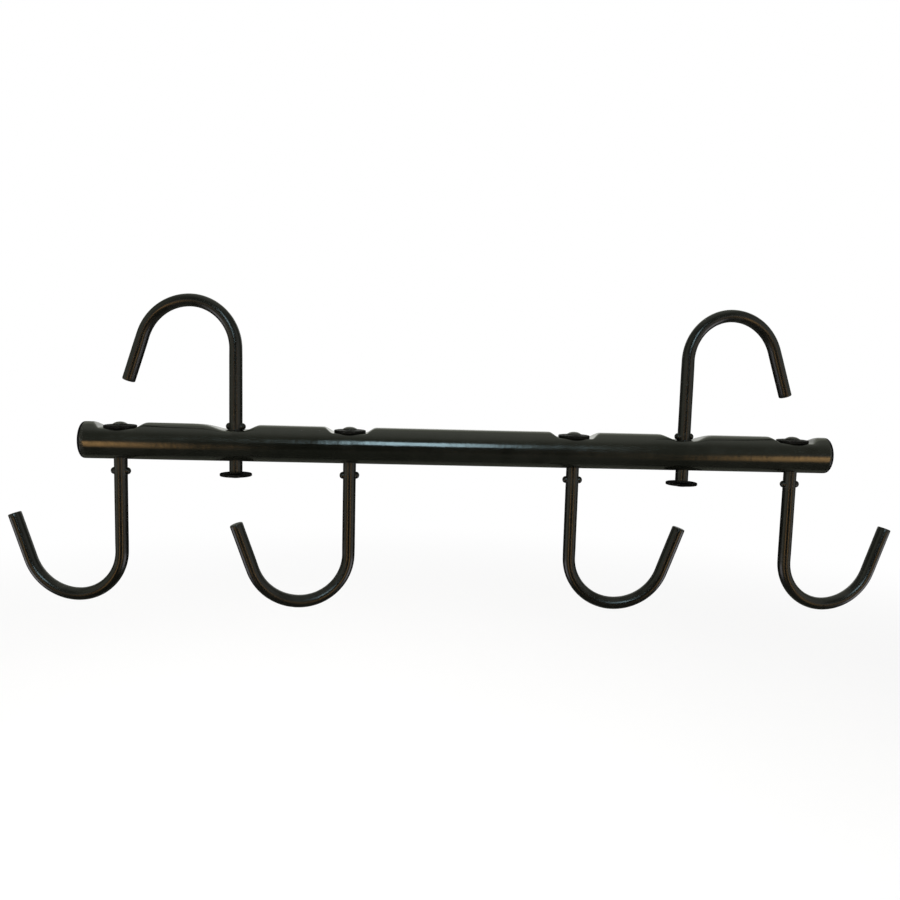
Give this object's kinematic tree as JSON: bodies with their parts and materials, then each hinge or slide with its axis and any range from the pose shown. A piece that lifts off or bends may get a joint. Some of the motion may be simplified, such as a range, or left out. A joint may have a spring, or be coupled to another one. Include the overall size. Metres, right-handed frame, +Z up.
{
  "type": "tack rack",
  "caption": "Round black steel bar with swivelling J-shaped hooks below it for bridles, halters and straps, and hooks standing above it that hang the rack over a rail or stall door.",
  "frame": {"origin": "middle of the bar's axis", "axes": "+X along the bar, +Z up towards the hang hooks, +Y towards the rail's side, away from the viewer"},
  "size_m": [0.7085, 0.0427, 0.2413],
  "materials": {
    "coat": "gloss black baked coat over steel, slightly wavy",
    "rivet": "gloss black coat worn thin on the domes",
    "cap": "satin black moulded plastic"
  },
  "bodies": {
    "bar": {"bar_tube": "coat", "end_cap_left": "cap", "end_cap_right": "cap"},
    "tack_hook_1_lift": {"tack_hook_1_rivet": "rivet"},
    "tack_hook_1": {"tack_hook_1_rod": "coat", "tack_hook_1_disc": "coat", "tack_hook_1_pin": "coat"},
    "tack_hook_2_lift": {"tack_hook_2_rivet": "rivet"},
    "tack_hook_2": {"tack_hook_2_rod": "coat", "tack_hook_2_disc": "coat", "tack_hook_2_pin": "coat"},
    "tack_hook_3_lift": {"tack_hook_3_rivet": "rivet"},
    "tack_hook_3": {"tack_hook_3_rod": "coat", "tack_hook_3_disc": "coat", "tack_hook_3_pin": "coat"},
    "tack_hook_4_lift": {"tack_hook_4_rivet": "rivet"},
    "tack_hook_4": {"tack_hook_4_rod": "coat", "tack_hook_4_disc": "coat", "tack_hook_4_pin": "coat"},
    "hang_hook_1_lift": {"hang_hook_1_rivet": "rivet"},
    "hang_hook_1": {"hang_hook_1_rod": "coat", "hang_hook_1_disc": "coat", "hang_hook_1_pin": "coat"},
    "hang_hook_2_lift": {"hang_hook_2_rivet": "rivet"},
    "hang_hook_2": {"hang_hook_2_rod": "coat", "hang_hook_2_disc": "coat", "hang_hook_2_pin": "coat"}
  },
  "joints": [
    {"name": "tack_hook_1_lift", "type": "slide", "parent": "bar", "child": "tack_hook_1_lift", "axis": [0, 0, 1], "range_m": [0, 0.0064]},
    {"name": "tack_hook_1_swivel", "type": "hinge", "parent": "tack_hook_1_lift", "child": "tack_hook_1", "pos_m": [-0.264, 0, 0], "axis": [0, 0, 1], "range_deg": [-149, 161]},
    {"name": "tack_hook_2_lift", "type": "slide", "parent": "bar", "child": "tack_hook_2_lift", "axis": [0, 0, 1], "range_m": [0, 0.0064]},
    {"name": "tack_hook_2_swivel", "type": "hinge", "parent": "tack_hook_2_lift", "child": "tack_hook_2", "pos_m": [-0.088, 0, 0], "axis": [0, 0, 1], "range_deg": [-169, 141]},
    {"name": "tack_hook_3_lift", "type": "slide", "parent": "bar", "child": "tack_hook_3_lift", "axis": [0, 0, 1], "range_m": [0, 0.0064]},
    {"name": "tack_hook_3_swivel", "type": "hinge", "parent": "tack_hook_3_lift", "child": "tack_hook_3", "pos_m": [0.088, 0, 0], "axis": [0, 0, 1], "range_deg": [-151, 159]},
    {"name": "tack_hook_4_lift", "type": "slide", "parent": "bar", "child": "tack_hook_4_lift", "axis": [0, 0, 1], "range_m": [0, 0.0064]},
    {"name": "tack_hook_4_swivel", "type": "hinge", "parent": "tack_hook_4_lift", "child": "tack_hook_4", "pos_m": [0.264, 0, 0], "axis": [0, 0, 1], "range_deg": [-160, 150]},
    {"name": "hang_hook_1_lift", "type": "slide", "parent": "bar", "child": "hang_hook_1_lift", "axis": [0, 0, 1], "range_m": [0, 0.0094]},
    {"name": "hang_hook_1_swivel", "type": "hinge", "parent": "hang_hook_1_lift", "child": "hang_hook_1", "pos_m": [-0.176, 0, 0], "axis": [0, 0, 1], "continuous": true},
    {"name": "hang_hook_2_lift", "type": "slide", "parent": "bar", "child": "hang_hook_2_lift", "axis": [0, 0, 1], "range_m": [0, 0.0094]},
    {"name": "hang_hook_2_swivel", "type": "hinge", "parent": "hang_hook_2_lift", "child": "hang_hook_2", "pos_m": [0.176, 0, 0], "axis": [0, 0, 1], "continuous": true}
  ]
}
